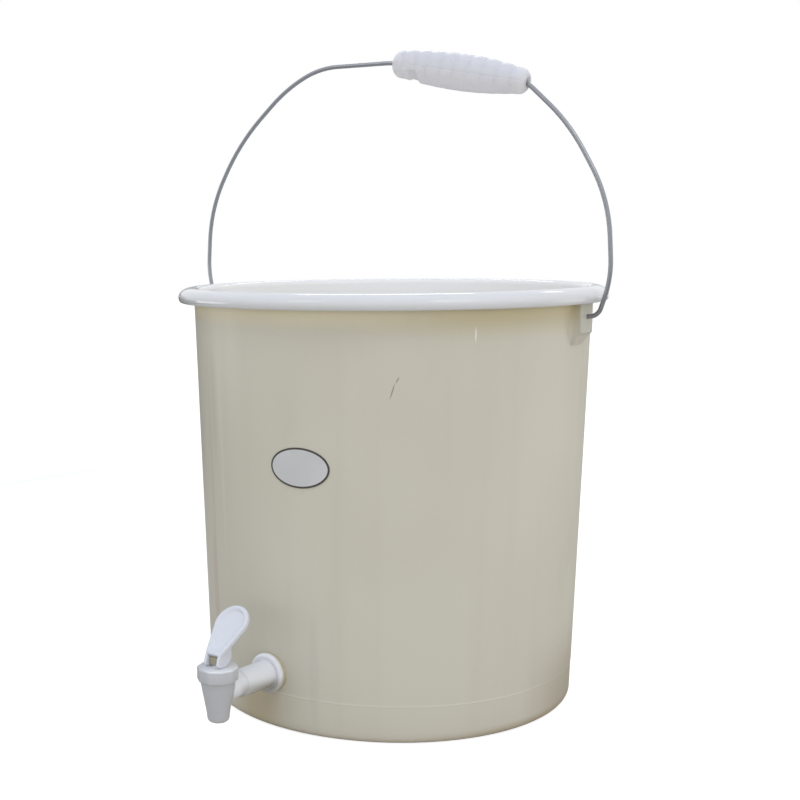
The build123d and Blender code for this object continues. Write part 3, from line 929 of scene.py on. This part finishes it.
def grip_radius(along):
    """Radius of the ringed, swelling form at a distance from the middle, in millimetres."""
    end_radius = left_end_radius if along < 0 else right_end_radius
    swell = (grip_mid_radius - end_radius) * (1 - (along / grip_half) ** 2)
    ring = ring_tall * abs(sin(pi * (along + grip_half) / ring_pitch)) ** ring_fullness
    return end_radius + swell + ring - ring_sink


def dome(along, end, deep, mouth):
    """Radius near a rounded end, which starts at the mouth and grows to the full form."""
    left = min(1.0, abs(end - along) / deep)
    return mouth + (grip_radius(along) - mouth) * sqrt(1 - (1 - left) ** 2)


# %% Spin the grip
dome_steps = 7
station_count = 72
first_station = ring_pitch * 0.7 - grip_half
last_station = grip_half - ring_pitch * 0.35
station_gap = (last_station - first_station) / station_count
dome_shares = [1 - cos(pi / 2 * step / dome_steps) for step in range(dome_steps + 1)]

stations = [left_dome * share - grip_half for share in dome_shares[:-1]]
stations += [first_station + station_gap * step for step in range(station_count)]
stations += [grip_half - right_dome * share for share in reversed(dome_shares)]
grip_line = [(mouth_deep - grip_half, grip_bore), (mouth_deep - grip_half, left_mouth)]
for along in stations:
    from_left = dome(along, -grip_half, left_dome, left_mouth)
    from_right = dome(along, grip_half, right_dome, right_mouth)
    grip_line.append((along, min(from_left, from_right)))
grip_line += [(grip_half - mouth_deep, right_mouth), (grip_half - mouth_deep, grip_bore)]
grip_line.append(grip_line[0])
grip_corners = [
    (grip_middle + grip_along * (along * MM) + grip_up * (radius * MM), 0) for along, radius in grip_line
]
grip = spin_profile("ringed_grip", grip_corners, 72, tuple(grip_middle), tuple(grip_along), 35)

# %% Press the parting line, the palm side and the finger notch
seam_half = 0.22
seam_deep = 0.12
palm_below = 5.5
palm_passes = 24
notch_along = -34.5
notch_below = 4.0
notch_deep = 0.75


def on_grip(vertex):
    """Millimetres from the grip's middle to a vertex: along the wire, upwards, and out from the wire."""
    away = (vertex.co - grip_middle) / MM
    along = away.dot(grip_along)
    return along, away.dot(grip_up), (away - grip_along * along).length


def on_seam(vertex):
    """Whether a vertex lies on the outside where the two halves of the mould met."""
    along, up, radius = on_grip(vertex)
    return radius > 6 and abs(up) < 0.05


def on_palm_side(vertex):
    """Whether a vertex lies on the lower side, between the rounded ends, where the rings are worn flat."""
    along, up, radius = on_grip(vertex)
    return abs(along) < grip_half - mouth_deep and up < -palm_below


def in_notch(vertex, reach):
    """Whether a vertex lies below, within a reach of the notch for the little finger."""
    along, up, radius = on_grip(vertex)
    return up < -notch_below and abs(along - notch_along) < reach


open_piece(grip)
seam_edges = bevel_edges(grip, lambda edge: all(on_seam(end) for end in edge.verts), seam_half, 2)
pick(grip, on_seam)
bpy.ops.transform.shrink_fatten(value=-seam_deep * MM)
print("palm side of", pick(grip, on_palm_side), "vertices")
bpy.ops.mesh.vertices_smooth(factor=0.5, repeat=palm_passes)
for reach in (5.0, 3.2):
    pick(grip, lambda vertex: in_notch(vertex, reach))
    bpy.ops.transform.translate(value=grip_up * (notch_deep * MM))
close_piece(grip, 35)
print("parting line along", seam_edges, "edges")
dress(grip, "grip", "bail_grip", grip_white)

# %% [markdown]
# ## Tap body
#
# The tap is two turned forms in one moulding: a cup that tapers down to the spout, and a barrel that runs
# back through the wall with a step, a flange and a tail. They have different axes, so no single spin makes
# them. Each is spun about its own axis, a boolean joins them, and bars bore the way for the water.

# %% Spin the cup and the barrel
cup_bottom = 21.5
cup_shoulder = 51.3
neck_radius = 11.6
neck_top = 57.4
thin_radius = 8.6
barrel_radius = 10.0
flange_radius = 14.5
tail_radius = 8.0
tail_end = -127.28
step_y = spout_y + 21.0
flange_back = -(tap_wall + 2.2)
flange_front = flange_back - 4.3

cup_profile = [
    (0, cup_bottom, 0),
    (7.4, cup_bottom, 3.2),
    (8.2, 29.0, 2.0),
    (12.2, cup_shoulder, 0.3),
    (neck_radius, cup_shoulder, 0),
    (neck_radius, neck_top, 0.3),
    (0, neck_top, 0),
]
cup = spin_profile("tap_cup_and_barrel", on_axis(cup_profile, spout), 96, tuple(spout))
barrel_line = [
    (spout_y, 0, 0),
    (spout_y, thin_radius, 0),
    (step_y, thin_radius, 0.6),
    (step_y + 0.8, barrel_radius, 0.6),
    (flange_front + 0.9, barrel_radius, 0.6),
    (flange_front + 0.9, 11.0, 0.3),
    (flange_front, 12.0, 1.6),
    (flange_front, flange_radius, 1.8),
    (flange_back, flange_radius, 0.9),
    (flange_back, tail_radius, 0),
    (tail_end, tail_radius, 0.8),
    (tail_end, 0, 0),
]
barrel_corners = [
    (at(0, along, tap_level + radius), rounding * MM) for along, radius, rounding in barrel_line
]
barrel = spin_profile("barrel", barrel_corners, 96, (0, 0, tap_level * MM), (0, 1, 0))
combine(cup, barrel, "UNION")

# %% Bore the tap
seat_level = 34.5
seat_radius = 6.6
chamber_radius = 9.3
chamber_top = 58.0
outlet_radius = 4.6
passage_radius = 6.0


def on_spout(level):
    """Place on the spout's axis, at a level in millimetres."""
    return spout + Vector((0, 0, level * MM))


chamber_profile = [
    (0, seat_level, 0),
    (seat_radius, seat_level, 0.4),
    (chamber_radius, cup_shoulder, 0),
    (chamber_radius, chamber_top, 0),
    (0, chamber_top, 0),
]
chamber = spin_profile("chamber", on_axis(chamber_profile, spout), 96, tuple(spout))
combine(cup, chamber, "DIFFERENCE")
use_bar(cup, on_spout(18), on_spout(seat_level + 1), outlet_radius)
use_bar(cup, on_spout(tap_level), at(0, tail_end + 4, tap_level), passage_radius)
dress(cup, "bucket", "tap_body", tap_body_white)

# %% [markdown]
# ## Bonnet
#
# A cap with ten soft flats screws over the cup. A round cap would need the flats cut one by one, so it starts
# as a ten-sided cylinder. Its upright corners are softened with a bevel, then its top and bottom edges are,
# and bars make the collar, the hollow and the guide for the stem.

# %% Shape the bonnet
bonnet_bottom = 51.6
bonnet_top = 61.3
bonnet_flat = 13.8
bonnet_sides = 10
deselect_everything()
bpy.ops.mesh.primitive_cylinder_add(
    vertices=bonnet_sides,
    radius=bonnet_flat / cos(pi / bonnet_sides) * MM,
    depth=(bonnet_top - bonnet_bottom) * MM,
    location=on_spout((bonnet_bottom + bonnet_top) / 2),
    rotation=(0, 0, pi / bonnet_sides),
)
bonnet = name_piece("bonnet_cap")
apply_place(bonnet)
open_piece(bonnet)


def is_upright(edge):
    """Whether an edge climbs from the bottom to the top."""
    return abs((edge.verts[0].co - edge.verts[1].co).z) > 1 * MM


bevel_edges(bonnet, is_upright, 0.9, 4)
bevel_edges(bonnet, lambda edge: all(end.co.z > (bonnet_top - 0.1) * MM for end in edge.verts), 1.3, 4)
bevel_edges(bonnet, lambda edge: all(end.co.z < (bonnet_bottom + 0.1) * MM for end in edge.verts), 1.1, 2)
close_piece(bonnet)

# %% Add the collar and hollow the bonnet
bonnet_ceiling = 58.9
collar_top = 61.9
collar_radius = 3.6
hollow_radius = 11.8
guide_radius = 2.58
for start, end, radius, operation, steps in (
    (60.0, collar_top, collar_radius, "UNION", 64),
    (50.0, bonnet_ceiling, hollow_radius, "DIFFERENCE", 96),
    (56.0, 66.0, guide_radius, "DIFFERENCE", 64),
):
    use_bar(bonnet, on_spout(start), on_spout(end), radius, operation, steps)
dress(bonnet, "bucket", "tap_bonnet", bonnet_white)

# %% [markdown]
# ## Lever
#
# The lever is a teardrop paddle that leans over the spout, on a fork that straddles the stem. Pressing the
# tip back rolls the fork's feet on the bonnet and lifts the stem. A sculpted block could stand for it, but
# its forms are flat. So the paddle is an outline of an arc with two tangents, filled and extruded to its
# thickness, and its face is inset twice to sink a panel inside a raised border. Each leg is a side view with
# a rolling foot, extruded across.

# %% Outline the paddle
pin_level = 65.6
edge_y = spout_y - 5.2
edge_level = pin_level + 5.1
paddle_lean = radians(45)
paddle_thick = 3.6
tip_radius = 13.7
tip_centre = 26.5
fork_half = 7.0
arc_steps = 32
paddle_along = Vector((0, sin(paddle_lean), cos(paddle_lean)))
paddle_out = Vector((0, -cos(paddle_lean), sin(paddle_lean)))
paddle_foot = at(0, edge_y, edge_level)

to_corner = atan2(-tip_centre, fork_half)
tangent = to_corner + acos(tip_radius / sqrt(fork_half ** 2 + tip_centre ** 2))
outline = [(fork_half, 0)]
for step in range(arc_steps + 1):
    turn = tangent + (pi - 2 * tangent) * step / arc_steps
    outline.append((tip_radius * cos(turn), tip_centre + tip_radius * sin(turn)))
outline += [(-fork_half, 0), outline[0]]
paddle_corners = [
    (paddle_foot + at(across, 0, 0) + paddle_along * (along * MM), 0) for across, along in outline
]
print("paddle outline of", len(outline), "points")

# %% Shape the paddle
raised_wide = 2.6
sink_wide = 1.8
sink_deep = 1.7
square_corner = 1.2
lever = extrude_outline("teardrop_lever", paddle_corners, -paddle_out * (paddle_thick * MM))
pick(lever, lambda face: face.normal.dot(paddle_out) > 0.9, "faces")
bpy.ops.mesh.inset(thickness=raised_wide * MM)
bpy.ops.mesh.inset(thickness=sink_wide * MM, depth=-sink_deep * MM)
bevel_edges(
    lever, lambda edge: len(edge.link_faces) == 2 and edge.calc_face_angle(0) > square_corner, 1.0, 5
)
bevel_edges(lever, lambda edge: 0.4 < edge.calc_face_angle(0) < square_corner, 0.35, 2)
close_piece(lever, 35)

# %% Draw a leg from the side
lift_per_radian = 3.0
foot_level = bonnet_top + 0.3
lever_travel = radians(50)
cam_steps = 8


def cam_point(angle):
    """Place on the rolling foot that meets the bonnet when the lever has turned by an angle."""
    reach = pin_level - foot_level + lift_per_radian * angle
    forward = reach * sin(angle) + lift_per_radian * cos(angle)
    down = reach * cos(angle) - lift_per_radian * sin(angle)
    return spout_y - forward, pin_level - down


leg_side = [cam_point(lever_travel * step / cam_steps) for step in range(cam_steps + 1)]
leg_side += [
    (edge_y + 0.4, edge_level - 0.6),
    (spout_y + 7.2, edge_level + 10.2),
    (spout_y + 6.9, foot_level + 5.1),
    (spout_y + 4.8, foot_level + 2.4),
    (spout_y + 1.0, foot_level),
]
leg_side.append(leg_side[0])
print("leg outline of", len(leg_side), "points")

# %% Add the two legs and the hole for the pin
slot_half = 4.7
leg_thick = fork_half - slot_half - 0.02
pin_reach = 6.5
pin_hole_radius = 1.46
for side in (-1, 1):
    leg_corners = [(at(side * slot_half, along, level), 0) for along, level in leg_side]
    leg = extrude_outline("leg", leg_corners, at(side * leg_thick, 0, 0))
    bevel_edges(leg, lambda edge: edge.calc_face_angle(0) > 0.9, 0.45, 3)
    close_piece(leg, 35)
    combine(lever, leg, "UNION", 35)
pin_start = at(-pin_reach, spout_y, pin_level)
pin_end = at(pin_reach, spout_y, pin_level)
use_bar(lever, pin_start, pin_end, pin_hole_radius, steps=48, smooth=35)
dress(lever, "lever", "tap_lever", tap_white)

# %% [markdown]
# ## Pieces kept from the imported model
#
# The wire, the seals, the nut, the stem and the spring already have their final shape. Modelling them again
# would add nothing, so they only get a finish. The silicone cup and the spring hang from the bonnet's
# ceiling, and each gets a mesh of its own.

# %% Finish the kept pieces
kept = {
    "bail_wire": galvanised,
    "outer_gasket": tan_rubber,
    "inner_gasket": tan_rubber,
    "back_nut": tap_white,
    "valve_stem": aged_stem,
    "seat_cup": milky_silicone,
    "return_spring": spring_steel,
}
for name, finish in kept.items():
    for slot in nodes[name].material_slots:
        slot.material = finish
    print(name, "takes", finish.name)

# %% Give the cup and the spring meshes of their own
for name in ("seat_cup", "return_spring"):
    piece = nodes[name]
    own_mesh(piece)

# %% [markdown]
# ## Floor
#
# The picture is a cut-out on pure white. A white floor would throw too much light up at the bucket, so the
# floor is pale, and the camera alone sees it lifted to white, with only the bucket's soft shadow left on it.

# %% Lay the floor
def mix_shaders(tree, share, first, second, output):
    """Send a mix of two shaders, told by a share, to the output node."""
    choice = add_node(tree, "ShaderNodeMixShader")
    for socket, source in zip(choice.inputs, (share, first, second)):
        tree.links.new(source, socket)
    tree.links.new(choice.outputs[0], tree.nodes[output].inputs["Surface"])


deselect_everything()
bpy.ops.mesh.primitive_plane_add(size=8)
ground = bpy.context.object
ground.name = "pale_floor"
pale = bpy.data.materials.new("pale_floor")
pale.use_nodes = True
tree = pale.node_tree
tree.nodes.remove(tree.nodes["Principled BSDF"])
plain = add_node(tree, "ShaderNodeBsdfDiffuse", {"Color": (0.54, 0.51, 0.46, 1)})
shadow_keeper = add_node(tree, "ShaderNodeBsdfDiffuse", {"Color": (0.42, 0.42, 0.42, 1)})
lift = add_node(tree, "ShaderNodeEmission", {"Color": (1, 1, 1, 1), "Strength": 0.80})
lifted = add_node(tree, "ShaderNodeAddShader")
tree.links.new(shadow_keeper.outputs[0], lifted.inputs[0])
tree.links.new(lift.outputs[0], lifted.inputs[1])
rays = add_node(tree, "ShaderNodeLightPath")
mix_shaders(tree, rays.outputs["Is Camera Ray"], plain.outputs[0], lifted.outputs[0], "Material Output")
ground.data.materials.append(pale)
print("floor of", round(ground.dimensions.x, 1), "metres")

# %% [markdown]
# ## Light
#
# The world is white to the camera and to reflections. To everything else it is a soft glow, made of a lobe
# from above and three low ones, so that each side of the bucket gets the tone that it has in the picture. A
# plain world and one lamp would be simpler, but the wall would look flat. Soft lamps add the key and the
# fill. Some lamps only shine in the gloss, and dull flags behind the bucket give its white edges something
# darker to mirror, as in a studio.

# %% Light the studio
world = bpy.data.worlds.new("studio")
scene.world = world
world.use_nodes = True
tree = world.node_tree
toward = add_node(tree, "ShaderNodeTexCoord").outputs["Generated"]
low = band(tree, split(tree, toward)["Z"], 0.5, 0.0)
glow = (0.0, 0.0, 0.0)
for axis, is_low, strength, tone in (
    (Vector((0, 0, 1)), False, 1.17, (0.94, 0.99, 1.08)),
    (-to_right - to_back * 0.3, True, 0.88, (1.00, 1.0, 0.95)),
    (to_right - to_back * 0.3, True, 1.25, (1.06, 1.0, 0.90)),
    (-to_back, True, 1.14, (0.99, 1.0, 1.00)),
):
    lobe = band(tree, vector_math(tree, "DOT_PRODUCT", toward, axis.normalized()), 0.0, 1.0)
    if is_low:
        lobe = times(tree, lobe, low)
    glow = blend(tree, lobe, glow, [strength * part for part in tone], "ADD")
soft = tree.nodes["Background"]
tree.links.new(glow, soft.inputs["Color"])
white = add_node(tree, "ShaderNodeBackground", {"Color": (1, 1, 1, 1), "Strength": 1.0})
rays = add_node(tree, "ShaderNodeLightPath")
either = times(tree, rays.outputs["Is Camera Ray"], rays.outputs["Is Glossy Ray"], "MAXIMUM")
either = times(tree, either, rays.outputs["Is Transmission Ray"], "MAXIMUM")
mix_shaders(tree, either, soft.outputs[0], white.outputs[0], "World Output")
print("world of", len(tree.nodes), "nodes")

# %% Hang the lamps
aim_at = Vector((0, 0, 0.2))


def in_studio(right, back, up):
    """Place in metres, seen from the camera: to its right, away from it and up."""
    return to_right * right + to_back * back + Vector((0, 0, up))


def softbox(name, right, back, up, wide, tall, power, only_shine=False):
    """Soft rectangular lamp aimed at the bucket, which may shine in the gloss only."""
    place = in_studio(right, back, up)
    bpy.ops.object.light_add(type="AREA", location=place)
    lamp = bpy.context.object
    lamp.name = name
    lamp.data.shape = "RECTANGLE"
    lamp.data.size = wide
    lamp.data.size_y = tall
    lamp.data.energy = power
    lamp.visible_camera = False
    lamp.visible_diffuse = not only_shine
    lamp.rotation_euler = (aim_at - place).to_track_quat("-Z", "Y").to_euler()
    print(name, tuple(round(value, 2) for value in place), power, "watts")


softbox("key_right", 1.2, -1.5, 2.2, 0.9, 0.9, 6.2)
softbox("fill_left", -1.4, -1.0, 2.0, 0.7, 0.7, 3.0)
softbox("high_back", -0.03, 1.9, 1.6, 0.75, 0.16, 2.2, True)
softbox("small_back", 0.85, 1.9, 1.6, 0.14, 0.16, 0.5, True)
softbox("low_right", 1.10, 0.15, 0.12, 0.5, 0.2, 0.5)
softbox("window_left", -0.72, 0.12, 0.24, 0.34, 0.14, 0.40, True)

# %% Stand flags behind the edges
for name, right, back, up, wide, tall, grey in (
    ("low_flag", -0.72, 0.60, 0.150, 0.95, 0.30, 0.05),
    ("back_flag", -0.41, 1.30, 0.370, 1.38, 0.16, 0.45),
    ("right_flag", 0.70, 1.30, 0.370, 0.80, 0.16, 0.80),
):
    felt = bpy.data.materials.new(name)
    felt.use_nodes = True
    shader = felt.node_tree.nodes["Principled BSDF"]
    shader.inputs["Base Color"].default_value = (grey, grey, grey, 1)
    shader.inputs["Roughness"].default_value = 0.9
    deselect_everything()
    place = in_studio(right, back, up)
    turn = Vector((-place.x, -place.y, 0)).to_track_quat("Z", "Y").to_euler()
    bpy.ops.mesh.primitive_plane_add(size=1, location=place, rotation=turn)
    flag = bpy.context.object
    flag.scale = (wide, tall, 1)
    flag.name = name
    flag.visible_camera = False
    flag.data.materials.append(felt)
    print(name, tuple(round(value, 2) for value in place))
